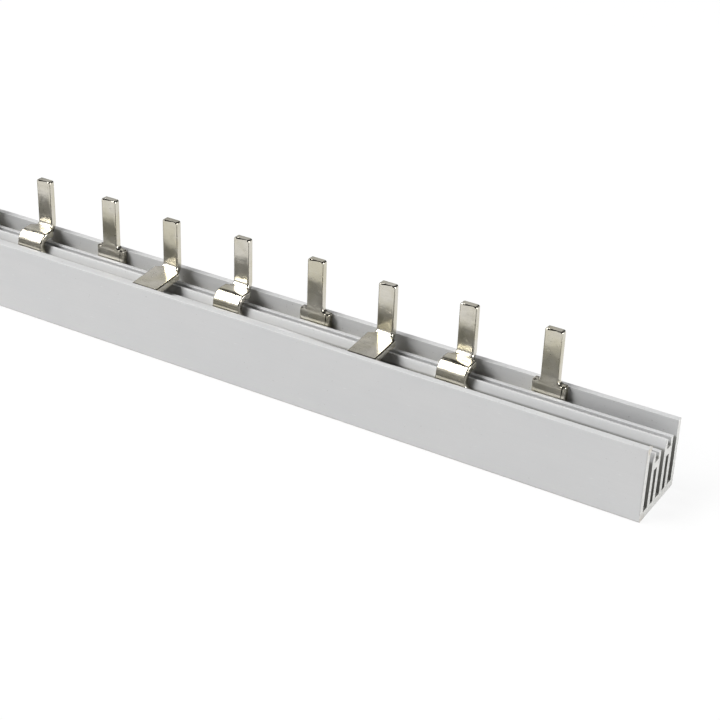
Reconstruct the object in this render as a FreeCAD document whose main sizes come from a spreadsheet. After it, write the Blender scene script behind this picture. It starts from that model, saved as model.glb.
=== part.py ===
import FreeCAD, Part

import math
import os

import Sketcher

# Three-phase comb busbar for modular switchgear, in millimetres.
# A grey extruded profile holds three plated copper combs on edge, one in each of its slots.
# Frame: origin under the middle of the profile, X along the bar, Z up along the blades, the tall wall at -Y.
# Inside a body the sketches start at the hidden end, the outer face of the tall wall and the underside,
# so that every coordinate is positive, and each sub-part's Placement then centres it.

SIZES = {
    # Along the bar: every comb has a tab each time its own way comes round
    "tabs_per_comb": 4,
    "way_pitch": 17.8,
    "end_margin": 26.0,
    # Section of the profile; the covers are how far each top stands above the copper strips
    "base_thickness": 1.75,
    "outer_wall": 1.3,
    "divider_wall": 1.25,
    "chamber_width": 1.35,
    "tall_wall_cover": 4.55,
    "low_wall_cover": 3.7,
    "divider_front_cover": 1.9,
    "divider_rear_cover": 1.5,
    "channel_depth": 1.85,
    "divider_web": 1.55,
    # Lips of a divider: the front one slopes back from its slot to a narrow top
    "front_lip": 0.5,
    "front_lip_slope": 1.4,
    "rear_lip": 0.95,
    "lip_radius": 0.1,
    "corner_radius": 0.4,
    # Strip of a comb, on edge in its slot
    "copper_thickness": 1.5,
    "slot_clearance": 0.2,
    "strip_height": 9.35,
    "strip_overrun": 6.0,
    # Blades, and the shoulders of the rear comb's tabs below them
    "blade_width": 3.8,
    "blade_projection": 10.95,
    "tip_radius": 0.5,
    "shoulder_fillet": 0.8,
    "shoulder_land": 0.45,
    "shoulder_corner": 0.4,
    "shoulder_rise": 0.4,
    # Feet, where a tab grows out of the strip
    "bent_foot_radius": 1.8,
    "flat_foot_radius": 1.0,
    "foot_land": 0.3,
    # Arms of the front and middle combs, their inner bend radii, and the necks up to their blades
    "arm_clearance": 1.4,
    "lower_bend": 1.5,
    "upper_bend": 0.9,
    "neck_radius": 1.3,
    "neck_land": 0.1,
    "neck_lead": 1.2,
    # The front comb's blades stand short of the others' row, and its arms fall towards its strip
    # to a tighter bend; both bent combs have slipped
    "front_blade_setback": 1.35,
    "front_arm_fall": 1.1,
    "front_lower_bend": 0.8,
    "front_comb_slip": 0.2,
    "middle_comb_slip": 0.5,
}

# One slot, from the tall wall back, and one way in turn, from the hidden end, for each comb
COMBS = ("front_comb", "middle_comb", "rear_comb")

# Worked-out sizes, as formulas on the sheet's cells
TAB_SPACING = f"({len(COMBS)} * Sheet.way_pitch)"
PROFILE_LENGTH = f"(({len(COMBS)} * Sheet.tabs_per_comb - 1) * Sheet.way_pitch + 2 * Sheet.end_margin)"
SLOT_WIDTH = "(Sheet.copper_thickness + 2 * Sheet.slot_clearance)"
DIVIDER = "(2 * Sheet.divider_wall + Sheet.chamber_width)"
SLOT_STEP = f"({SLOT_WIDTH} + {DIVIDER})"
PROFILE_WIDTH = f"(2 * Sheet.outer_wall + {SLOT_WIDTH} + {len(COMBS) - 1} * {SLOT_STEP})"
FLOOR = "Sheet.base_thickness"
STRIP_TOP = f"({FLOOR} + Sheet.strip_height)"
DIVIDER_FRONT_TOP = f"({STRIP_TOP} + Sheet.divider_front_cover)"
DIVIDER_REAR_TOP = f"({STRIP_TOP} + Sheet.divider_rear_cover)"
CHANNEL_FLOOR = f"({DIVIDER_REAR_TOP} - Sheet.channel_depth)"
CHAMBER_TOP = f"({CHANNEL_FLOOR} - Sheet.divider_web)"
LOW_WALL_TOP = f"({STRIP_TOP} + Sheet.low_wall_cover)"
TALL_WALL_TOP = f"({STRIP_TOP} + Sheet.tall_wall_cover)"
BLADE_TOP = f"({TALL_WALL_TOP} + Sheet.blade_projection)"
ARM_BOTTOM = f"({DIVIDER_FRONT_TOP} + Sheet.arm_clearance)"
ARM_TOP = f"({ARM_BOTTOM} + Sheet.copper_thickness)"
SHOULDER = "(Sheet.shoulder_fillet + Sheet.shoulder_land + Sheet.shoulder_corner)"
FLAT_TAB_HALF = f"(Sheet.blade_width / 2 + {SHOULDER})"
BENT_TAB_HALF = "(Sheet.blade_width / 2 + Sheet.neck_radius + Sheet.neck_land)"


def slot_start(number):
    """Front edge of a copper slot; slot 0 lies beside the tall wall."""
    return f"(Sheet.outer_wall + {number} * {SLOT_STEP})"


def comb_face(number):
    """Front face of the strip that stands in a slot."""
    return f"({slot_start(number)} + Sheet.slot_clearance)"


def tab_centre(number):
    """Middle of a comb's first tab, along the bar."""
    return f"(Sheet.end_margin + {number} * Sheet.way_pitch)"


def strip_ends(number):
    """Where a comb's strip starts and ends along the bar, past its first and last tab."""
    last_tab = f"({tab_centre(number)} + (Sheet.tabs_per_comb - 1) * {TAB_SPACING})"
    return f"({tab_centre(number)} - Sheet.strip_overrun)", f"({last_tab} + Sheet.strip_overrun)"


document = FreeCAD.newDocument("comb_busbar")
sheet = document.addObject("Spreadsheet::Sheet", "Sheet")
for row, (alias, size) in enumerate(SIZES.items(), start=1):
    sheet.set(f"A{row}", alias)
    sheet.set(f"B{row}", str(size))
    sheet.setAlias(f"B{row}", alias)
document.recompute()


def value(formula):
    """Number that a formula on the sheet gives now."""
    result = sheet.evalExpression(formula.replace("Sheet.", ""))
    return float(getattr(result, "Value", result))


def origin_feature(body, role):
    """Plane or axis of a body's origin, found by its role."""
    return next(item for item in body.Origin.OriginFeatures if item.Role == role)


def new_body(name):
    """Empty body."""
    return document.addObject("PartDesign::Body", name)


def new_sketch(body, name, plane):
    """Sketch on one of the body's origin planes."""
    sketch = body.newObject("Sketcher::SketchObject", name)
    sketch.AttachmentSupport = (origin_feature(body, plane), [""])
    sketch.MapMode = "FlatFace"
    return sketch


def bind(sketch, constraint, formula):
    """Adds a dimension to a sketch and binds it to a formula."""
    index = sketch.addConstraint(constraint)
    sketch.setExpression(f"Constraints[{index}]", formula)


def pin_to_corners(sketch, line, corners):
    """Holds a sloping line on its two corners, each a construction point at its own formulas."""
    for u, v, _ in corners:
        point = sketch.addGeometry(Part.Point(FreeCAD.Vector(value(u), value(v), 0)), True)
        bind(sketch, Sketcher.Constraint("DistanceX", -1, 1, point, 1, value(u)), u)
        bind(sketch, Sketcher.Constraint("DistanceY", -1, 1, point, 1, value(v)), v)
        sketch.addConstraint(Sketcher.Constraint("PointOnObject", point, 1, line))


def draw_outline(sketch, corners):
    """Closed outline of straight lines through corners (u, v, radius or None), all formulas."""
    count = len(corners)
    points = [FreeCAD.Vector(value(u), value(v), 0) for u, v, _ in corners]
    radii = [value(radius) if radius else 0.0 for _, _, radius in corners]
    ways = [(points[(i + 1) % count] - points[i]).normalize() for i in range(count)]
    setbacks = [radii[i] * math.tan(ways[i - 1].getAngle(ways[i]) / 2) for i in range(count)]
    lines = []
    for i in range(count):
        after = (i + 1) % count
        start = points[i] + ways[i] * setbacks[i]
        end = points[after] - ways[i] * setbacks[after]
        line = sketch.addGeometry(Part.LineSegment(start, end), False)
        lines.append(line)
        upright = abs(ways[i].x) < 1e-9
        if not upright and abs(ways[i].y) > 1e-9:
            pin_to_corners(sketch, line, [corners[i], corners[after]])
            continue
        sketch.addConstraint(Sketcher.Constraint("Vertical" if upright else "Horizontal", line))
        place = corners[i][0] if upright else corners[i][1]
        if place == "0":
            sketch.addConstraint(Sketcher.Constraint("PointOnObject", line, 1, -2 if upright else -1))
        elif upright:
            bind(sketch, Sketcher.Constraint("DistanceX", -1, 1, line, 1, value(place)), place)
        else:
            bind(sketch, Sketcher.Constraint("DistanceY", -1, 1, line, 1, value(place)), place)
    for i in range(count):
        before, after = lines[i - 1], lines[i]
        if not corners[i][2]:
            sketch.addConstraint(Sketcher.Constraint("Coincident", before, 2, after, 1))
            continue
        way_in, way_out = ways[i - 1], ways[i]
        left_turn = way_in.x * way_out.y - way_in.y * way_out.x > 0
        inwards = FreeCAD.Vector(-way_in.y, way_in.x, 0) * (radii[i] if left_turn else -radii[i])
        centre = points[i] - way_in * setbacks[i] + inwards
        first = points[i] - way_in * setbacks[i] - centre
        last = points[i] + way_out * setbacks[i] - centre
        start, end = (first, last) if left_turn else (last, first)
        circle = Part.Circle(centre, FreeCAD.Vector(0, 0, 1), radii[i])
        start_angle = math.atan2(start.y, start.x)
        end_angle = math.atan2(end.y, end.x)
        arc = sketch.addGeometry(Part.ArcOfCircle(circle, start_angle, end_angle), False)
        meets_before, meets_after = (1, 2) if left_turn else (2, 1)
        sketch.addConstraint(Sketcher.Constraint("Tangent", before, 2, arc, meets_before))
        sketch.addConstraint(Sketcher.Constraint("Tangent", arc, meets_after, after, 1))
        bind(sketch, Sketcher.Constraint("Radius", arc, radii[i]), corners[i][2])


def pad(body, sketch, length, backwards=False):
    """Pad of a sketch by a length given as a formula."""
    feature = body.newObject("PartDesign::Pad", f"{sketch.Name}_pad")
    feature.Profile = sketch
    feature.setExpression("Length", length)
    feature.Reversed = backwards
    body.Tip = feature
    return feature


def repeat_along_bar(body, feature):
    """Copies one tab's feature to every tab of its comb."""
    document.recompute()
    pattern = body.newObject("PartDesign::LinearPattern", f"{body.Name}_row")
    pattern.Originals = [feature]
    pattern.Direction = (origin_feature(body, "X_Axis"), [""])
    pattern.setExpression("Length", f"(Sheet.tabs_per_comb - 1) * {TAB_SPACING}")
    pattern.setExpression("Occurrences", "Sheet.tabs_per_comb")
    body.Tip = pattern


def centre_on_frame(piece, slip="0"):
    """Moves a piece from the sketches' corner to the part's own frame."""
    piece.setExpression("Placement.Base.x", f"-{PROFILE_LENGTH} / 2 - {slip}")
    piece.setExpression("Placement.Base.y", f"-{PROFILE_WIDTH} / 2")


def make_profile():
    """Extruded profile: two outer walls and two hollow dividers that fork at the top, on one base."""
    body = new_body("insulating_profile")
    section = new_sketch(body, "profile_section", "YZ_Plane")
    lip = "Sheet.lip_radius"
    corner = "Sheet.corner_radius"
    low_wall_face = f"({PROFILE_WIDTH} - Sheet.outer_wall)"
    outline = [
        ("0", "0", corner),
        (PROFILE_WIDTH, "0", corner),
        (PROFILE_WIDTH, LOW_WALL_TOP, lip),
        (low_wall_face, LOW_WALL_TOP, lip),
    ]
    for number in range(len(COMBS) - 1, 0, -1):
        divider_end = slot_start(number)
        divider_start = f"({divider_end} - {DIVIDER})"
        channel_start = f"({divider_start} + Sheet.divider_wall)"
        channel_end = f"({divider_end} - Sheet.rear_lip)"
        chamber_end = f"({divider_end} - Sheet.divider_wall)"
        outline += [
            (f"({divider_end} + {SLOT_WIDTH})", FLOOR, None),
            (divider_end, FLOOR, None),
            (divider_end, DIVIDER_REAR_TOP, lip),
            (channel_end, DIVIDER_REAR_TOP, lip),
            (channel_end, CHANNEL_FLOOR, None),
            (channel_start, CHANNEL_FLOOR, None),
            (channel_start, DIVIDER_FRONT_TOP, lip),
            (f"({channel_start} - Sheet.front_lip)", DIVIDER_FRONT_TOP, lip),
            (divider_start, f"({DIVIDER_FRONT_TOP} - Sheet.front_lip_slope)", None),
        ]
        chamber = [
            (channel_start, FLOOR, None),
            (chamber_end, FLOOR, None),
            (chamber_end, CHAMBER_TOP, None),
            (channel_start, CHAMBER_TOP, None),
        ]
        draw_outline(section, chamber)
    outline += [
        (f"({slot_start(0)} + {SLOT_WIDTH})", FLOOR, None),
        (slot_start(0), FLOOR, None),
        (slot_start(0), TALL_WALL_TOP, lip),
        ("0", TALL_WALL_TOP, lip),
    ]
    draw_outline(section, outline)
    pad(body, section, PROFILE_LENGTH)
    centre_on_frame(body)
    return body


def stamped_blank(name, tab_half, tab_top, foot_radius, corner=None, fillet=None):
    """Comb seen from the front, as it is stamped: strip, tabs and blades, as deep as the profile."""
    body = new_body(f"{name}_blank")
    number = COMBS.index(name)
    start, end = strip_ends(number)
    strip = new_sketch(body, f"{name}_strip", "XZ_Plane")
    draw_outline(strip, [
        (start, FLOOR, None),
        (end, FLOOR, None),
        (end, STRIP_TOP, None),
        (start, STRIP_TOP, None),
    ])
    pad(body, strip, PROFILE_WIDTH, backwards=True)
    tab = new_sketch(body, f"{name}_tab", "XZ_Plane")
    halves = []
    for side in ("+", "-"):
        foot = f"({tab_centre(number)} {side} ({tab_half} + {foot_radius} + Sheet.foot_land))"
        tab_edge = f"({tab_centre(number)} {side} {tab_half})"
        blade_edge = f"({tab_centre(number)} {side} Sheet.blade_width / 2)"
        halves.append([
            (foot, FLOOR, None),
            (foot, STRIP_TOP, None),
            (tab_edge, STRIP_TOP, foot_radius),
            (tab_edge, tab_top, corner),
            (blade_edge, tab_top, fillet),
            (blade_edge, BLADE_TOP, "Sheet.tip_radius"),
        ])
    draw_outline(tab, halves[0] + halves[1][::-1])
    repeat_along_bar(body, pad(body, tab, PROFILE_WIDTH, backwards=True))
    return body


def side_view(name, outline):
    """Comb seen from its end: the copper's thickness, with its bends, along the whole bar."""
    body = new_body(f"{name}_side")
    sketch = new_sketch(body, f"{name}_side_outline", "YZ_Plane")
    draw_outline(sketch, outline)
    pad(body, sketch, PROFILE_LENGTH)
    return body


def plan_view(name, face, blade_face):
    """Bent comb seen from above: the strip, and arms that neck down to the blade's width."""
    body = new_body(f"{name}_plan")
    number = COMBS.index(name)
    start, end = strip_ends(number)
    back = f"({face} + Sheet.copper_thickness)"
    blade_back = f"({blade_face} + Sheet.copper_thickness)"
    neck = f"({blade_face} - Sheet.neck_lead)"
    strip = new_sketch(body, f"{name}_strip_plan", "XY_Plane")
    draw_outline(strip, [(start, face, None), (end, face, None), (end, back, None), (start, back, None)])
    pad(body, strip, BLADE_TOP)
    arm = new_sketch(body, f"{name}_arm_plan", "XY_Plane")
    halves = []
    for side in ("+", "-"):
        tab_edge = f"({tab_centre(number)} {side} {BENT_TAB_HALF})"
        blade_edge = f"({tab_centre(number)} {side} Sheet.blade_width / 2)"
        halves.append([
            (tab_edge, face, None),
            (tab_edge, neck, None),
            (blade_edge, neck, "Sheet.neck_radius"),
            (blade_edge, blade_back, None),
        ])
    draw_outline(arm, halves[0] + halves[1][::-1])
    repeat_along_bar(body, pad(body, arm, BLADE_TOP))
    return body


def join(name, views, slip="0"):
    """What the given views of a comb have in common: the comb itself."""
    comb = document.addObject("Part::MultiCommon", name)
    comb.Shapes = views
    comb.Refine = True
    centre_on_frame(comb, slip)
    return comb


def make_flat_comb(name):
    """Comb whose blades rise straight out of its slot."""
    face = comb_face(COMBS.index(name))
    back = f"({face} + Sheet.copper_thickness)"
    tab_top = f"({LOW_WALL_TOP} + Sheet.shoulder_rise)"
    blank = stamped_blank(name, FLAT_TAB_HALF, tab_top, "Sheet.flat_foot_radius",
                          "Sheet.shoulder_corner", "Sheet.shoulder_fillet")
    outline = [(face, FLOOR, None), (back, FLOOR, None), (back, BLADE_TOP, None), (face, BLADE_TOP, None)]
    return join(name, [blank, side_view(name, outline)])


def make_bent_comb(name, slip, lower_bend, setback="0", fall="0"):
    """Comb whose tabs bend back over the dividers as arms and up again into the blades.

    The arm's top falls by the given length from the blade's face to the strip's face.
    """
    thickness = "Sheet.copper_thickness"
    face = comb_face(COMBS.index(name))
    back = f"({face} + {thickness})"
    blade_face = f"({comb_face(len(COMBS) - 1)} - {setback})"
    blade_back = f"({blade_face} + {thickness})"
    tab_top = f"({ARM_TOP} + Sheet.upper_bend)"
    blank = stamped_blank(name, BENT_TAB_HALF, tab_top, "Sheet.bent_foot_radius")
    slope = f"({fall} / ({blade_face} - {face}))"
    underside = f"({ARM_TOP} + {thickness} * ({slope} - sqrt(1 + {slope}^2)))"
    outline = [
        (face, FLOOR, None),
        (back, FLOOR, None),
        (back, f"({underside} - {fall})", lower_bend),
        (blade_back, underside, f"(Sheet.upper_bend + {thickness})"),
        (blade_back, BLADE_TOP, None),
        (blade_face, BLADE_TOP, None),
        (blade_face, ARM_TOP, "Sheet.upper_bend"),
        (face, f"({ARM_TOP} - {fall})", f"({lower_bend} + {thickness})"),
    ]
    return join(name, [blank, side_view(name, outline), plan_view(name, face, blade_face)], slip)


pieces = [
    make_profile(),
    make_bent_comb("front_comb", "Sheet.front_comb_slip", "Sheet.front_lower_bend",
                   "Sheet.front_blade_setback", "Sheet.front_arm_fall"),
    make_bent_comb("middle_comb", "Sheet.middle_comb_slip", "Sheet.lower_bend"),
    make_flat_comb("rear_comb"),
]
document.recompute()

for item in document.Objects:
    if "Invalid" in item.State or "Error" in item.State:
        raise RuntimeError(f"{item.Name} failed: {item.State}")
for piece in pieces:
    piece.Label = piece.Name
    if piece.Shape.isNull() or not piece.Shape.isValid() or len(piece.Shape.Solids) != 1:
        raise RuntimeError(f"{piece.Name} has no single valid solid")

os.makedirs("parts", exist_ok=True)
for piece in pieces:
    piece.Shape.exportStep(f"parts/{piece.Label}.step")
    box = piece.Shape.BoundBox
    print(piece.Label, f"{piece.Shape.Volume:.1f} mm3", f"X {box.XMin:.2f}..{box.XMax:.2f}",
          f"Y {box.YMin:.2f}..{box.YMax:.2f}", f"Z {box.ZMin:.2f}..{box.ZMax:.2f}")
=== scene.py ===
import math

import bmesh
import bpy
from mathutils import Matrix, Vector


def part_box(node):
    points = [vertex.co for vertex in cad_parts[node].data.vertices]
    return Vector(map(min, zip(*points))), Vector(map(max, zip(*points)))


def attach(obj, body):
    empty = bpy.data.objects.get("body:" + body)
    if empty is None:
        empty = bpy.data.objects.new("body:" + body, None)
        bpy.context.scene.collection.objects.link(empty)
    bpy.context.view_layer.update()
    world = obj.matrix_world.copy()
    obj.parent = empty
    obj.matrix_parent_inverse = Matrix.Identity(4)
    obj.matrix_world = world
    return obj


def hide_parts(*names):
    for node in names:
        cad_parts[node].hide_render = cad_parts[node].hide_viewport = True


# Three-phase comb busbar: a grey extruded profile, and three plated copper combs on edge in its slots.
# Lengths are written in millimetres and turned to metres by MM.
MM = 0.001

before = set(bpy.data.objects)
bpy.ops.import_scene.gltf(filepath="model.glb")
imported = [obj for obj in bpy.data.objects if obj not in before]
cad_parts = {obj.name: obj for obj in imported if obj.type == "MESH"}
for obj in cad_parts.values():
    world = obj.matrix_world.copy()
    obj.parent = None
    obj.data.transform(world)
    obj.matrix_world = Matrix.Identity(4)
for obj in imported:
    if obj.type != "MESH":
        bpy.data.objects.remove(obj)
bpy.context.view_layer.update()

PROFILE_LOW, PROFILE_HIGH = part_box("insulating_profile")

# Section of the profile, with its heights from the underside
BASE = 1.75 * MM
OUTER_WALL = 1.3 * MM
SLOT = 1.9 * MM
DIVIDER_WALL = 1.25 * MM
CHAMBER = 1.35 * MM
DIVIDER = 2 * DIVIDER_WALL + CHAMBER
CHAMBER_TOP = 9.2 * MM
CHANNEL_FLOOR = 10.75 * MM
DIVIDER_FRONT = 13.0 * MM
DIVIDER_REAR = 12.6 * MM
FRONT_LIP = 0.5 * MM
FRONT_LIP_FOOT = 11.6 * MM
REAR_LIP = 0.95 * MM
LOW_WALL = 14.8 * MM
TALL_WALL = PROFILE_HIGH.z
LIP_RADIUS = 0.1 * MM
BOTTOM_RADIUS = 0.4 * MM
BROKEN_EDGE = 0.3 * MM
# The front divider's rear lip has sunk: from where, and from where in full, measured from the visible end
SUNK_FROM = 84.0 * MM
SUNK_FULL = 68.0 * MM
SUNK_BY = 0.38 * MM
# Burr that the saw left at the tall wall's top corner; the crumbling adds less than it is set back
BURR_DEPTH = 0.6 * MM
BURR_SET_BACK = 0.09 * MM
BURR_FROM = 0.3 * MM
BURR_TO = 2.25 * MM
BURR_HEIGHT = 3.35 * MM
BURR_TOP = TALL_WALL - 0.05 * MM
# Levels of its torn edge: height from its foot, share of its width, and how far it sways back
BURR_LEVELS = [
    (0.0 * MM, 0.3, -0.4 * MM),
    (0.8 * MM, 0.6, -0.25 * MM),
    (1.5 * MM, 0.5, -0.2 * MM),
    (2.1 * MM, 0.85, -0.05 * MM),
    (2.7 * MM, 0.8, 0.0 * MM),
    (3.1 * MM, 1.05, 0.1 * MM),
    (BURR_HEIGHT, 0.75, -0.1 * MM),
]

# Combs
WAY_PITCH = 17.8 * MM
TAB_SPACING = 3 * WAY_PITCH
TABS = 4
COPPER = 1.5 * MM
STRIP_TOP = 11.1 * MM
STRIP_OVERRUN = 6.0 * MM
ARM_TOP = 15.9 * MM
FRONT_ARM_FALL = 1.1 * MM
BLADE_HALF = 1.9 * MM
BENT_TAB_HALF = 3.3 * MM
FLAT_TAB_HALF = 3.55 * MM
SHOULDER_TOP = 15.2 * MM
SHOULDER_CORNER = 0.4 * MM
SHOULDER_FILLET = 0.8 * MM
TIP_RADIUS = 0.5 * MM
BENT_FOOT = 1.8 * MM
FLAT_FOOT = 1.0 * MM
OUTER_BEND = 3.0 * MM
FRONT_OUTER_BEND = 1.6 * MM
INNER_BEND = 0.9 * MM
NECK_LEAD = 1.2 * MM
NECK_LENGTH = 1.3 * MM
BEND_STEPS = 14
ROLLED_EDGE = 0.36 * MM
SHARP_EDGE = 0.08 * MM


def linear(text):
    """Linear colour of an sRGB hex value such as #D4D0C4."""
    parts = [int(text[i:i + 2], 16) / 255 for i in (1, 3, 5)]
    return [p / 12.92 if p <= 0.04045 else ((p + 0.055) / 1.055) ** 2.4 for p in parts] + [1.0]


# Modelling helpers

def new_piece(name):
    """Names the primitive that was just added and moves its place into its mesh."""
    piece = bpy.context.object
    piece.name = name
    piece.data.name = name
    bpy.ops.object.transform_apply(location=True, rotation=True, scale=True)
    return piece


def start_block(name, low, high):
    """Block between two corners, as the start of a piece."""
    bpy.ops.object.select_all(action="DESELECT")
    low, high = Vector(low), Vector(high)
    bpy.ops.mesh.primitive_cube_add(size=1, location=(low + high) / 2, scale=high - low)
    return new_piece(name)


def start_sheet(name, start, end, y, bottom, top):
    """Upright sheet that faces -Y, as the start of a piece."""
    bpy.ops.object.select_all(action="DESELECT")
    middle = ((start + end) / 2, y, (bottom + top) / 2)
    bpy.ops.mesh.primitive_plane_add(size=1, location=middle, rotation=(math.pi / 2, 0, 0))
    bpy.context.object.scale = (end - start, top - bottom, 1)
    return new_piece(name)


def pick(piece, kind, test):
    """Selects the vertices, edges or faces for which the test of their middle and of the item holds."""
    bpy.ops.mesh.select_mode(type=kind)
    mesh = bmesh.from_edit_mesh(piece.data)
    items = {"VERT": mesh.verts, "EDGE": mesh.edges, "FACE": mesh.faces}[kind]
    for item in mesh.verts[:] + mesh.edges[:] + mesh.faces[:]:
        item.select_set(False)
    for item in items:
        if kind == "FACE":
            middle = item.calc_center_median()
        elif kind == "EDGE":
            middle = (item.verts[0].co + item.verts[1].co) / 2
        else:
            middle = item.co
        if test(middle, item):
            item.select_set(True)
    mesh.select_flush_mode()
    bmesh.update_edit_mesh(piece.data)


def near(a, b, room=1e-5):
    return abs(a - b) < room


def runs_along(edge, axis):
    """True for an edge that lies along the given axis, 0 to 2."""
    way = (edge.verts[1].co - edge.verts[0].co).normalized()
    return abs(way[axis]) > 0.999


def cut(piece, point, normal, clear=False):
    """Cuts the whole piece along a plane, and clears what is in front of it if asked."""
    bpy.ops.mesh.select_all(action="SELECT")
    bpy.ops.mesh.bisect(plane_co=point, plane_no=normal, clear_outer=clear, use_fill=False)


def apply_modifier(piece, kind, **settings):
    """Adds a modifier with its settings and applies it."""
    modifier = piece.modifiers.new(kind.title(), kind)
    for key, setting in settings.items():
        setattr(modifier, key, setting)
    bpy.context.view_layer.objects.active = piece
    bpy.ops.object.modifier_apply(modifier=modifier.name)


def finish_piece(piece, name, angle=35):
    """Smooths a piece by angle, and puts it in its node's place if it has one."""
    bpy.ops.object.select_all(action="DESELECT")
    piece.select_set(True)
    bpy.context.view_layer.objects.active = piece
    bpy.ops.object.shade_smooth_by_angle(angle=math.radians(angle))
    apply_modifier(piece, "WEIGHTED_NORMAL", weight=100, keep_sharp=True, use_face_influence=False)
    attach(piece, "root")
    if name:
        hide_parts(name)


# Profile

def model_profile():
    """Base with walls drawn up from it, webs bridged between each divider's walls, and slim lips on top."""
    low, high = PROFILE_LOW, PROFILE_HIGH
    piece = start_block("extruded_profile", low, (high.x, high.y, low.z + BASE))
    bpy.ops.object.mode_set(mode="EDIT")
    front = low.y
    dividers = [front + OUTER_WALL + number * SLOT + (number - 1) * DIVIDER for number in (1, 2)]
    columns = [
        (front, front + OUTER_WALL, [BASE, TALL_WALL]),
        (high.y - OUTER_WALL, high.y, [BASE, LOW_WALL]),
    ]
    for start in dividers:
        end = start + DIVIDER
        columns += [
            (start, start + DIVIDER_WALL,
             [BASE, CHAMBER_TOP, CHANNEL_FLOOR, FRONT_LIP_FOOT, DIVIDER_FRONT]),
            (end - DIVIDER_WALL, end, [BASE, CHAMBER_TOP, CHANNEL_FLOOR]),
            (end - REAR_LIP, end, [CHANNEL_FLOOR, DIVIDER_REAR]),
        ]
    for y in sorted({side for column in columns for side in column[:2] if abs(side) < high.y - 1e-5}):
        cut(piece, (0, y, 0), (0, 1, 0))
    for left, right, levels in columns:
        for height, level in zip(levels, levels[1:]):
            pick(piece, "FACE", lambda m, f: f.normal.z > 0.9 and near(m.z, height) and left < m.y < right)
            bpy.ops.mesh.extrude_region_move(TRANSFORM_OT_translate={"value": (0, 0, level - height)})
    for start in dividers:
        inner = start + DIVIDER_WALL
        pick(piece, "FACE", lambda m, f: (near(m.y, inner) or near(m.y, inner + CHAMBER))
             and CHAMBER_TOP < m.z < CHANNEL_FLOOR and abs(f.normal.y) > 0.9)
        bpy.ops.mesh.bridge_edge_loops()
        pick(piece, "EDGE", lambda m, e: runs_along(e, 0) and near(m.y, start) and near(m.z, DIVIDER_FRONT))
        bpy.ops.transform.translate(value=(0, DIVIDER_WALL - FRONT_LIP, 0))
    # The rear lip of the front divider sinks towards the visible end
    for x in (high.x - SUNK_FROM, high.x - SUNK_FULL):
        cut(piece, (x, 0, 0), (1, 0, 0))
    back = dividers[0] + DIVIDER
    pick(piece, "FACE", lambda m, f: f.normal.z > 0.9 and near(m.z, DIVIDER_REAR)
         and back - REAR_LIP < m.y < back and m.x > high.x - SUNK_FULL)
    bpy.ops.transform.translate(value=(0, 0, -SUNK_BY))
    tops = (TALL_WALL, LOW_WALL, DIVIDER_FRONT, DIVIDER_REAR, DIVIDER_REAR - SUNK_BY)
    pick(piece, "EDGE", lambda m, e: runs_along(e, 0) and any(near(m.z, top) for top in tops))
    bpy.ops.mesh.bevel(offset=LIP_RADIUS, segments=3, profile=0.5)
    pick(piece, "EDGE", lambda m, e: runs_along(e, 0) and near(m.z, low.z) and abs(m.y) > high.y - 1e-5)
    bpy.ops.mesh.bevel(offset=BOTTOM_RADIUS, segments=5, profile=0.5)
    pick(piece, "EDGE", lambda m, e: near(abs(m.x), high.x) and near(m.y, front) and m.z > BASE)
    bpy.ops.mesh.bevel(offset=BROKEN_EDGE, segments=2, profile=0.5)
    bpy.ops.object.mode_set(mode="OBJECT")
    finish_piece(piece, "insulating_profile")
    return piece


def model_burr():
    """Rag of plastic that the saw left across the mouth of the front slot, at the tall wall's top corner."""
    end = PROFILE_HIGH.x - BURR_SET_BACK
    low = Vector((end - BURR_DEPTH, PROFILE_LOW.y + BURR_FROM, BURR_TOP - BURR_HEIGHT))
    high = Vector((end, PROFILE_LOW.y + BURR_TO, BURR_TOP))
    piece = start_block("saw_burr", low, high)
    bpy.ops.object.mode_set(mode="EDIT")
    middle = (low.y + high.y) / 2
    for height, width, sway in BURR_LEVELS[1:-1]:
        cut(piece, (0, 0, low.z + height), (0, 0, 1))
    for across in (0.45 * MM, 0.9 * MM):
        cut(piece, (0, low.y + across, 0), (0, 1, 0))
    for height, width, sway in BURR_LEVELS:
        level = low.z + height
        pick(piece, "VERT", lambda m, v: near(m.z, level))
        bpy.ops.transform.resize(value=(1, width, 1), center_override=(end, middle, level))
        bpy.ops.transform.translate(value=(0, sway, 0))
    # It is narrower where it grows out of the cut, inside the slot
    root = (low.x, middle - 0.3 * MM, TALL_WALL - 1.4 * MM)
    pick(piece, "VERT", lambda m, v: near(m.x, low.x))
    bpy.ops.transform.resize(value=(1, 0.55, 0.9), center_override=root)
    bpy.ops.mesh.select_all(action="SELECT")
    bpy.ops.mesh.subdivide(number_cuts=1, smoothness=0.6)
    bpy.ops.object.mode_set(mode="OBJECT")
    crumble = bpy.data.textures.new("torn plastic", "CLOUDS")
    crumble.noise_scale = 0.5 * MM
    apply_modifier(piece, "DISPLACE", texture=crumble, strength=0.22 * MM, mid_level=0.62,
                   texture_coords="LOCAL")
    finish_piece(piece, None, angle=60)
    return piece


# Combs

def draw_up(piece, middle, rows, half):
    """Draws the selected edge of a sheet through rows (y, z, half width), each as wide as its row says."""
    mesh = bmesh.from_edit_mesh(piece.data)
    ends = [v.co for v in mesh.verts if v.select]
    y = sum(end.y for end in ends) / len(ends)
    z = sum(end.z for end in ends) / len(ends)
    for row_y, row_z, row_half in rows:
        bpy.ops.mesh.extrude_edges_move(TRANSFORM_OT_translate={"value": (0, row_y - y, row_z - z)})
        if not near(row_half, half, 1e-9):
            bpy.ops.transform.resize(value=(row_half / half, 1, 1), center_override=(middle, row_y, row_z))
        y, z, half = row_y, row_z, row_half


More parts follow.
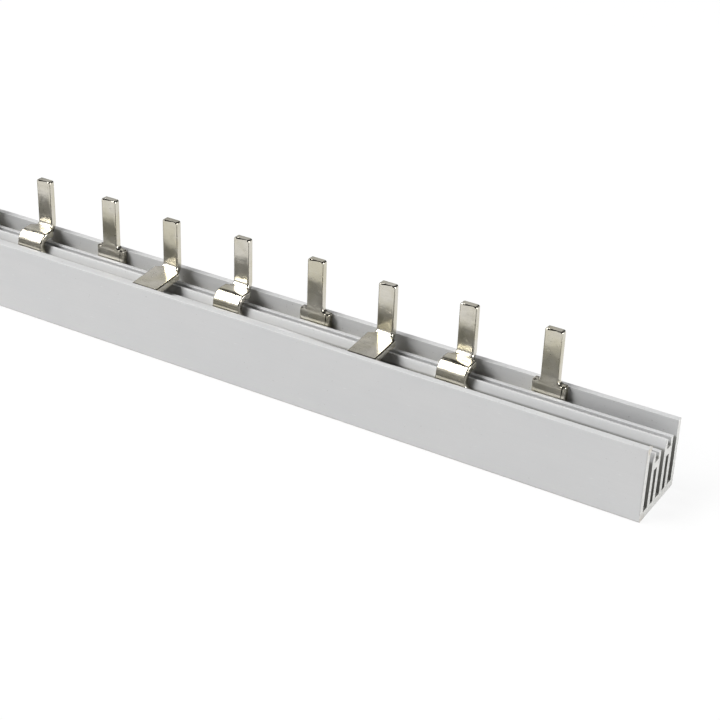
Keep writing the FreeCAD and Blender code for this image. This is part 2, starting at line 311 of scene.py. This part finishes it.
def repeat_and_thicken(piece, first_middle):
    """Repeats a sheet with one tab along the bar, trims the strip's ends and gives it the copper's
    thickness."""
    bpy.ops.object.mode_set(mode="OBJECT")
    apply_modifier(piece, "ARRAY", count=TABS, use_relative_offset=False, use_constant_offset=True,
                   constant_offset_displace=(TAB_SPACING, 0, 0), use_merge_vertices=True,
                   merge_threshold=0.001 * MM)
    bpy.ops.object.mode_set(mode="EDIT")
    cut(piece, (first_middle - STRIP_OVERRUN, 0, 0), (-1, 0, 0), clear=True)
    last_middle = first_middle + (TABS - 1) * TAB_SPACING
    cut(piece, (last_middle + STRIP_OVERRUN, 0, 0), (1, 0, 0), clear=True)
    bpy.ops.object.mode_set(mode="OBJECT")
    apply_modifier(piece, "SOLIDIFY", thickness=COPPER, offset=-1, use_even_offset=True)


def round_stamped_edges(piece, name, corners):
    """Rounds the stamped corners beside each tab, given as (half width, height, radius), and then every
    edge."""
    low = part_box(name)[0]
    middles = [low.x + STRIP_OVERRUN + number * TAB_SPACING for number in range(TABS)]
    bpy.ops.object.mode_set(mode="EDIT")
    for half, height, radius in corners:
        pick(piece, "EDGE", lambda m, e: runs_along(e, 1) and near(m.z, height)
             and any(near(abs(m.x - middle), half) for middle in middles))
        bpy.ops.mesh.bevel(offset=radius, segments=6, profile=0.5)

    def leans(edge):
        """Least lean to the front and up of the faces beside a sharp edge; none beside a smooth one."""
        if len(edge.link_faces) != 2 or edge.calc_face_angle(0) < math.radians(50):
            return None
        return min(face.normal.z - face.normal.y for face in edge.link_faces)

    # The punch rolls the side edges of the sheet's front; those of its back and across its tips stay sharp
    for radius, steps, wanted in (
        (ROLLED_EDGE, 5, lambda e, lean: lean > -0.3 and not runs_along(e, 0)),
        (SHARP_EDGE, 2, lambda e, lean: True),
    ):
        pick(piece, "EDGE", lambda m, e: leans(e) is not None and wanted(e, leans(e)))
        bpy.ops.mesh.bevel(offset=radius, segments=steps, profile=0.5, clamp_overlap=False)
    bpy.ops.object.mode_set(mode="OBJECT")


def bend(corner, radius, way_in, way_out, steps):
    """Points (y, z) of an arc that rounds a corner between two directions, given as (y, z) unit vectors."""
    corner, way_in, way_out = Vector(corner), Vector(way_in), Vector(way_out)
    turn = way_in.angle(way_out)
    start = corner - way_in * radius * math.tan(turn / 2)
    across = (way_out - way_in * way_in.dot(way_out)).normalized()
    for step in range(steps + 1):
        part = turn * step / steps
        yield start + way_in * radius * math.sin(part) + across * radius * (1 - math.cos(part))


def model_bent_comb(name, outer_bend, fall=0.0):
    """Comb whose tabs bend back into arms and up again into blades; an arm falls towards its strip."""
    low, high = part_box(name)
    face = low.y
    blade_face = high.y - COPPER
    middle = low.x + STRIP_OVERRUN
    piece = start_sheet(f"plated_{name}", middle - TAB_SPACING / 2, middle + TAB_SPACING / 2,
                        face, low.z, STRIP_TOP)
    bpy.ops.object.mode_set(mode="EDIT")
    for side in (-1, 1):
        cut(piece, (middle + side * BENT_TAB_HALF, 0, 0), (1, 0, 0))
    pick(piece, "EDGE", lambda m, e: near(m.z, STRIP_TOP) and near(m.x, middle))
    neck = blade_face - NECK_LEAD

    def half_at(y):
        into = min(max((y - neck) / NECK_LENGTH, 0), 1)
        return BENT_TAB_HALF - (BENT_TAB_HALF - BLADE_HALF) * math.sqrt(1 - (1 - into) ** 2)

    up = (0, 1)
    arm = Vector((blade_face - face, fall)).normalized()
    lower = [*bend((face, ARM_TOP - fall), outer_bend, up, arm, BEND_STEPS)]
    upper = [*bend((blade_face, ARM_TOP), INNER_BEND, arm, up, BEND_STEPS)]
    along = [neck, neck + 0.04 * NECK_LENGTH, neck + 0.12 * NECK_LENGTH]
    rows = [(y, z, BENT_TAB_HALF) for y, z in lower]
    rows += [(y, ARM_TOP - (blade_face - y) * arm.y / arm.x, half_at(y))
             for y in along if y < upper[0].x]
    rows += [(y, z, half_at(y)) for y, z in upper]
    rows.append((blade_face, high.z, BLADE_HALF))
    draw_up(piece, middle, rows, BENT_TAB_HALF)
    repeat_and_thicken(piece, middle)
    round_stamped_edges(piece, name, [
        (BENT_TAB_HALF, STRIP_TOP, BENT_FOOT),
        (BLADE_HALF, high.z, TIP_RADIUS),
    ])
    finish_piece(piece, name)
    return piece


def model_flat_comb(name):
    """Comb whose blades rise straight out of its strip, over shoulders."""
    low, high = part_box(name)
    middle = low.x + STRIP_OVERRUN
    piece = start_sheet(f"plated_{name}", middle - TAB_SPACING / 2, middle + TAB_SPACING / 2,
                        low.y, low.z, STRIP_TOP)
    bpy.ops.object.mode_set(mode="EDIT")
    for half in (FLAT_TAB_HALF, BLADE_HALF):
        for side in (-1, 1):
            cut(piece, (middle + side * half, 0, 0), (1, 0, 0))
    pick(piece, "EDGE", lambda m, e: near(m.z, STRIP_TOP) and abs(m.x - middle) < FLAT_TAB_HALF)
    bpy.ops.mesh.extrude_edges_move(TRANSFORM_OT_translate={"value": (0, 0, SHOULDER_TOP - STRIP_TOP)})
    pick(piece, "EDGE", lambda m, e: near(m.z, SHOULDER_TOP) and near(m.x, middle))
    bpy.ops.mesh.extrude_edges_move(TRANSFORM_OT_translate={"value": (0, 0, high.z - SHOULDER_TOP)})
    repeat_and_thicken(piece, middle)
    round_stamped_edges(piece, name, [
        (FLAT_TAB_HALF, STRIP_TOP, FLAT_FOOT),
        (FLAT_TAB_HALF, SHOULDER_TOP, SHOULDER_CORNER),
        (BLADE_HALF, SHOULDER_TOP, SHOULDER_FILLET),
        (BLADE_HALF, high.z, TIP_RADIUS),
    ])
    finish_piece(piece, name)
    return piece


# Materials

def new_material(name):
    material = bpy.data.materials.new(name)
    material.use_nodes = True
    material.node_tree.nodes.clear()
    return material


def add_node(tree, kind, settings=None, links=None):
    """Adds a node, sets its properties and sockets, by name or number, and links sockets to outputs."""
    node = tree.nodes.new(kind)
    for key, setting in (settings or {}).items():
        if isinstance(key, int) or key in node.inputs:
            node.inputs[key].default_value = setting
        else:
            setattr(node, key, setting)
    for key, source in (links or {}).items():
        tree.links.new(source, node.inputs[key])
    return node


def spots(tree, place, size, low, high, stretch=(1, 1, 1), detail=3.0, shift=(0, 0, 0)):
    """Level from 0 to 1 of a soft random pattern with patches of about size metres, drawn out by stretch."""
    scale = [1 / (size * s) for s in stretch]
    drawn = add_node(tree, "ShaderNodeMapping", {"Location": shift, "Scale": scale}, {"Vector": place})
    noise = add_node(tree, "ShaderNodeTexNoise", {"Scale": 1.0, "Detail": detail, "Roughness": 0.55},
                     {"Vector": drawn.outputs[0]})
    level = add_node(tree, "ShaderNodeMapRange", {"From Min": low, "From Max": high},
                     {"Value": noise.outputs[0]})
    return level.outputs[0]


def layered(tree, base, layers):
    """Colour of a base under layers, each given as its level, the share it hides at most, and its colour."""
    under = {}
    for level, share, colour in layers:
        part = add_node(tree, "ShaderNodeMath", {"operation": "MULTIPLY", 1: share}, {0: level})
        mix = add_node(tree, "ShaderNodeMix", {"data_type": "RGBA", 6: linear(base), 7: linear(colour)},
                       {0: part.outputs[0], **under})
        under = {6: mix.outputs[2]}
    return mix.outputs[2]


def pvc_material():
    """Extruded rigid PVC: even cool grey with a soft sheen, faint lines drawn along it by the die, and
    handling marks, with painted shade down in its slots and chambers and along its lower edge."""
    material = new_material("extruded rigid PVC")
    tree = material.node_tree
    place = add_node(tree, "ShaderNodeTexCoord").outputs["Object"]
    clouds = spots(tree, place, 9 * MM, 0.35, 0.65, stretch=(2.5, 1, 1))
    # Die lines are a tenth of a millimetre apart, drawn three times as coarse so that they show
    lines = spots(tree, place, 0.3 * MM, 0.3, 0.7, stretch=(400, 1, 1), detail=2.0)
    # Rubbed marks, 2 to 3 mm long
    rubs = spots(tree, place, 0.35 * MM, 0.68, 0.74, stretch=(7, 1, 1), shift=(3, 7, 1))
    # Specks of dust and grime, a few tenths of a millimetre across
    specks = spots(tree, place, 0.5 * MM, 0.735, 0.77, detail=1.0, shift=(11, 5, 2))
    # Painted shade: darker down in the slots and chambers, below the lips' feet, where the walls shade them
    split = add_node(tree, "ShaderNodeSeparateXYZ", None, {"Vector": place})
    across = add_node(tree, "ShaderNodeMath", {"operation": "ABSOLUTE"}, {0: split.outputs["Y"]})
    within_walls = PROFILE_HIGH.y - 0.5 * OUTER_WALL
    inside = add_node(tree, "ShaderNodeMath", {"operation": "LESS_THAN", 1: within_walls},
                      {0: across.outputs[0]})
    deep = add_node(tree, "ShaderNodeMapRange", {"From Min": 11.6 * MM, "From Max": 11.1 * MM},
                    {"Value": split.outputs["Z"]})
    painted_slot_shade = add_node(tree, "ShaderNodeMath", {"operation": "MULTIPLY"},
                     {0: inside.outputs[0], 1: deep.outputs[0]})
    # Painted shadow: the lower edge darkens where the bar stands on the floor
    edge = add_node(tree, "ShaderNodeMapRange", {"From Min": 0.45 * MM, "From Max": 0.1 * MM},
                    {"Value": split.outputs["Z"]})
    colour = layered(tree, "#CCCCCC", [
        (clouds, 0.45, "#C6C7C8"),
        (lines, 0.12, "#BFC0C0"),
        (rubs, 0.5, "#DCDDDC"),
        (specks, 0.5, "#8F8F8A"),
        # painted shade down in the slots and chambers
        (painted_slot_shade.outputs[0], 0.8, "#7E7E78"),
        # painted shadow along the lower edge
        (edge.outputs[0], 0.6, "#8A8074"),
    ])
    drawn = add_node(tree, "ShaderNodeBump", {"Strength": 1.0, "Distance": 0.004 * MM}, {"Height": lines})
    uneven = add_node(tree, "ShaderNodeBump", {"Strength": 1.0, "Distance": 0.03 * MM},
                      {"Height": clouds, "Normal": drawn.outputs[0]})
    sheen = add_node(tree, "ShaderNodeMapRange", {"To Min": 0.46, "To Max": 0.36}, {"Value": clouds})
    shader = add_node(tree, "ShaderNodeBsdfPrincipled", {"IOR": 1.53}, {
        "Base Color": colour, "Roughness": sheen.outputs[0], "Normal": uneven.outputs[0],
    })
    add_node(tree, "ShaderNodeOutputMaterial", None, {"Surface": shader.outputs[0]})
    return material


def sawn_material():
    """Sawn ends of the same PVC: chalky and paler, with the saw's strokes across them."""
    material = new_material("sawn rigid PVC")
    tree = material.node_tree
    place = add_node(tree, "ShaderNodeTexCoord").outputs["Object"]
    turned = add_node(tree, "ShaderNodeMapping", {"Rotation": (math.radians(24), 0, 0)}, {"Vector": place})
    strokes = spots(tree, turned.outputs[0], 0.25 * MM, 0.3, 0.7, stretch=(1, 30, 1), detail=2.0)
    dust = spots(tree, place, 0.8 * MM, 0.4, 0.6)
    # Brownish dirt has caught in the burr of the tall wall's top and in the lower front corner
    patches = spots(tree, place, 0.7 * MM, 0.4, 0.6, stretch=(1, 1, 2), shift=(2, 6, 3.4))
    split = add_node(tree, "ShaderNodeSeparateXYZ", None, {"Vector": place})
    past_wall = PROFILE_LOW.y + OUTER_WALL + 1.0 * MM
    front = add_node(tree, "ShaderNodeMath", {"operation": "LESS_THAN", 1: past_wall},
                     {0: split.outputs["Y"]})
    dirt = add_node(tree, "ShaderNodeMath", {"operation": "MULTIPLY"}, {0: front.outputs[0], 1: patches})
    corners = []
    for none_at, full_at in ((12.5 * MM, 14.5 * MM), (2.2 * MM, 0.8 * MM)):
        corner = add_node(tree, "ShaderNodeMapRange", {"From Min": none_at, "From Max": full_at},
                          {"Value": split.outputs["Z"]})
        soiled = add_node(tree, "ShaderNodeMath", {"operation": "MULTIPLY"},
                          {0: corner.outputs[0], 1: dirt.outputs[0]})
        corners.append(soiled.outputs[0])
    colour = layered(tree, "#CFCFCC", [
        (strokes, 0.5, "#B4B4B0"),
        (dust, 0.4, "#DEDDDA"),
        (corners[0], 0.6, "#B0A592"),
        (corners[1], 0.6, "#9A8C7A"),
    ])
    grooves = add_node(tree, "ShaderNodeBump", {"Strength": 1.0, "Distance": 0.02 * MM}, {"Height": strokes})
    shader = add_node(tree, "ShaderNodeBsdfPrincipled", {"IOR": 1.53, "Roughness": 0.75}, {
        "Base Color": colour, "Normal": grooves.outputs[0],
    })
    add_node(tree, "ShaderNodeOutputMaterial", None, {"Surface": shader.outputs[0]})
    return material


def plated_material():
    """Nickel plated copper: warm bright metal, wavy from the press, drawn along the strip, dulled and
    yellowed in patches by handling."""
    material = new_material("nickel plated copper")
    tree = material.node_tree
    place = add_node(tree, "ShaderNodeTexCoord").outputs["Object"]
    waves = spots(tree, place, 5 * MM, 0.3, 0.7, detail=0.5)
    tarnish = spots(tree, place, 7 * MM, 0.38, 0.62, detail=2.5, shift=(5, 2, 9))
    smears = spots(tree, place, 1.2 * MM, 0.45, 0.7, stretch=(1.6, 1, 1), detail=2.0, shift=(1, 8, 4))
    # Rolling lines are a few hundredths of a millimetre apart, drawn at 0.15 mm so that they show
    lines = spots(tree, place, 0.15 * MM, 0.3, 0.7, stretch=(60, 1, 1), detail=2.0)
    pits = spots(tree, place, 0.4 * MM, 0.74, 0.79, detail=1.0, shift=(2, 3, 7))
    colour = layered(tree, "#D3CFC5", [
        (tarnish, 0.6, "#BDB79D"),
        (lines, 0.12, "#A9A492"),
        (pits, 0.7, "#6E6856"),
    ])
    wavy = add_node(tree, "ShaderNodeBump", {"Strength": 1.0, "Distance": 0.06 * MM}, {"Height": waves})
    rolled = add_node(tree, "ShaderNodeBump", {"Strength": 1.0, "Distance": 0.002 * MM},
                      {"Height": lines, "Normal": wavy.outputs[0]})
    pitted = add_node(tree, "ShaderNodeBump", {"Strength": 1.0, "Distance": -0.02 * MM},
                      {"Height": pits, "Normal": rolled.outputs[0]})
    polish = add_node(tree, "ShaderNodeMapRange", {"To Min": 0.16, "To Max": 0.28}, {"Value": smears})
    shader = add_node(tree, "ShaderNodeBsdfPrincipled", {"Metallic": 1.0}, {
        "Base Color": colour, "Roughness": polish.outputs[0], "Normal": pitted.outputs[0],
    })
    add_node(tree, "ShaderNodeOutputMaterial", None, {"Surface": shader.outputs[0]})
    return material


def dress(piece, *materials):
    piece.data.materials.clear()
    for material in materials:
        piece.data.materials.append(material)


def dress_ends(piece):
    """Gives the faces of a bar's two ends its second material."""
    for face in piece.data.polygons:
        if abs(face.normal.x) > 0.6:
            face.material_index = 1


# Studio

LAMP_TARGET = Vector((30, 0, 10)) * MM


def add_floor():
    """White paper: the camera and reflections see it white, with the object's shadow; its bounce is
    weaker."""
    bpy.ops.object.select_all(action="DESELECT")
    bpy.ops.mesh.primitive_plane_add(size=6, location=(0, 0, PROFILE_LOW.z - 0.02 * MM))
    floor = new_piece("floor")
    material = new_material("white paper")
    tree = material.node_tree
    path = add_node(tree, "ShaderNodeLightPath")
    seen = path.outputs["Is Camera Ray"]
    for other in ("Is Glossy Ray", "Is Transmission Ray"):
        either = add_node(tree, "ShaderNodeMath", {"operation": "MAXIMUM"},
                          {0: seen, 1: path.outputs[other]})
        seen = either.outputs[0]
    tone = add_node(tree, "ShaderNodeMix", {
        "data_type": "RGBA", 6: linear("#DCDCDC"), 7: linear("#F8F8F8"),
    }, {0: seen})
    paper = add_node(tree, "ShaderNodeBsdfDiffuse", None, {"Color": tone.outputs[2]})
    glow = add_node(tree, "ShaderNodeEmission", {"Strength": 1.0})
    share = add_node(tree, "ShaderNodeMath", {"operation": "MULTIPLY", 1: 0.9}, {0: seen})
    mix = add_node(tree, "ShaderNodeMixShader", None, {
        0: share.outputs[0], 1: paper.outputs[0], 2: glow.outputs[0],
    })
    add_node(tree, "ShaderNodeOutputMaterial", None, {"Surface": mix.outputs[0]})
    dress(floor, material)


def add_world():
    """Studio with pale walls to the left, dark overhead and to the right."""
    world = bpy.data.worlds.new("studio")
    bpy.context.scene.world = world
    world.use_nodes = True
    tree = world.node_tree
    tree.nodes.clear()
    place = add_node(tree, "ShaderNodeTexCoord")
    split = add_node(tree, "ShaderNodeSeparateXYZ", None, {"Vector": place.outputs["Generated"]})
    # How light the studio is by direction: along an axis, from one level to the other between two points
    levels = {}
    for name, axis, start, end, low, high in (
        ("to the back", "Y", 0.0, 0.2, 0.12, 1.0),
        ("above the back wall's foot", "Z", 0.3, 0.42, 0.3, 1.0),
        ("to the front", "Y", -0.2, 0.0, 1.0, 0.0),
        ("below the front wall's top", "Z", 0.38, 0.48, 0.95, 0.12),
        ("to the left", "X", -0.3, 0.1, 0.72, 0.08),
        ("below the ceiling", "Z", 0.62, 0.74, 1.0, 0.05),
    ):
        levels[name] = add_node(tree, "ShaderNodeMapRange", {
            "From Min": start, "From Max": end, "To Min": low, "To Max": high,
        }, {"Value": split.outputs[axis]}).outputs[0]
    for name, operation, one, other in (
        ("back wall", "MULTIPLY", "to the back", "above the back wall's foot"),
        ("front wall", "MULTIPLY", "to the front", "below the front wall's top"),
        ("walls", "MAXIMUM", "back wall", "front wall"),
        ("left walls", "MULTIPLY", "walls", "to the left"),
        ("studio", "MULTIPLY", "left walls", "below the ceiling"),
    ):
        levels[name] = add_node(tree, "ShaderNodeMath", {"operation": operation}, {
            0: levels[one], 1: levels[other],
        }).outputs[0]
    sky = add_node(tree, "ShaderNodeBackground", {"Color": (1, 1, 1, 1)}, {"Strength": levels["studio"]})
    add_node(tree, "ShaderNodeOutputWorld", None, {"Surface": sky.outputs[0]})


def add_softbox(name, place, size, power):
    """Lamp that faces the part of the bar in view; its first size runs as near along the bar as it can."""
    lamp = bpy.data.lights.new(name, "AREA")
    lamp.shape = "RECTANGLE"
    lamp.size, lamp.size_y = size
    lamp.energy = power
    holder = bpy.data.objects.new(name, lamp)
    bpy.context.scene.collection.objects.link(holder)
    away = (Vector(place) - LAMP_TARGET).normalized()
    side = (Vector((1, 0, 0)) - away * away.x).normalized()
    turn = Matrix((side, away.cross(side), away)).transposed()
    holder.matrix_world = Matrix.Translation(Vector(place)) @ turn.to_4x4()


def add_camera():
    """Camera of the photograph: its place and its axes, as fitted to the bar's edges and blades."""
    view = Vector((-0.44497, 0.76035, -0.47316))
    right = Vector((0.8532, 0.52047, 0.03402))
    up = right.cross(view)
    lens = bpy.data.cameras.new("camera")
    lens.sensor_fit = "HORIZONTAL"
    lens.sensor_width = 36
    lens.lens = 84.09
    lens.clip_start = 0.01
    lens.clip_end = 20
    camera = bpy.data.objects.new("camera", lens)
    bpy.context.scene.collection.objects.link(camera)
    turn = Matrix((right, up, -view)).transposed()
    camera.matrix_world = Matrix.Translation(Vector((209.17, -256.91, 170.22)) * MM) @ turn.to_4x4()
    bpy.context.scene.camera = camera


bpy.context.scene.view_settings.view_transform = "Standard"
profile = model_profile()
burr = model_burr()
combs = [
    model_bent_comb("front_comb", FRONT_OUTER_BEND, FRONT_ARM_FALL),
    model_bent_comb("middle_comb", OUTER_BEND),
    model_flat_comb("rear_comb"),
]
sawn = sawn_material()
dress(profile, pvc_material(), sawn)
dress_ends(profile)
dress(burr, sawn)
plated = plated_material()
for comb in combs:
    dress(comb, plated)
add_floor()
add_world()
add_softbox("overhead softbox", (-1.08, -0.84, 1.63), (0.87, 2.3), 66)
add_softbox("side softbox", (0.97, 0.36, 0.25), (0.4, 0.4), 8)
add_camera()
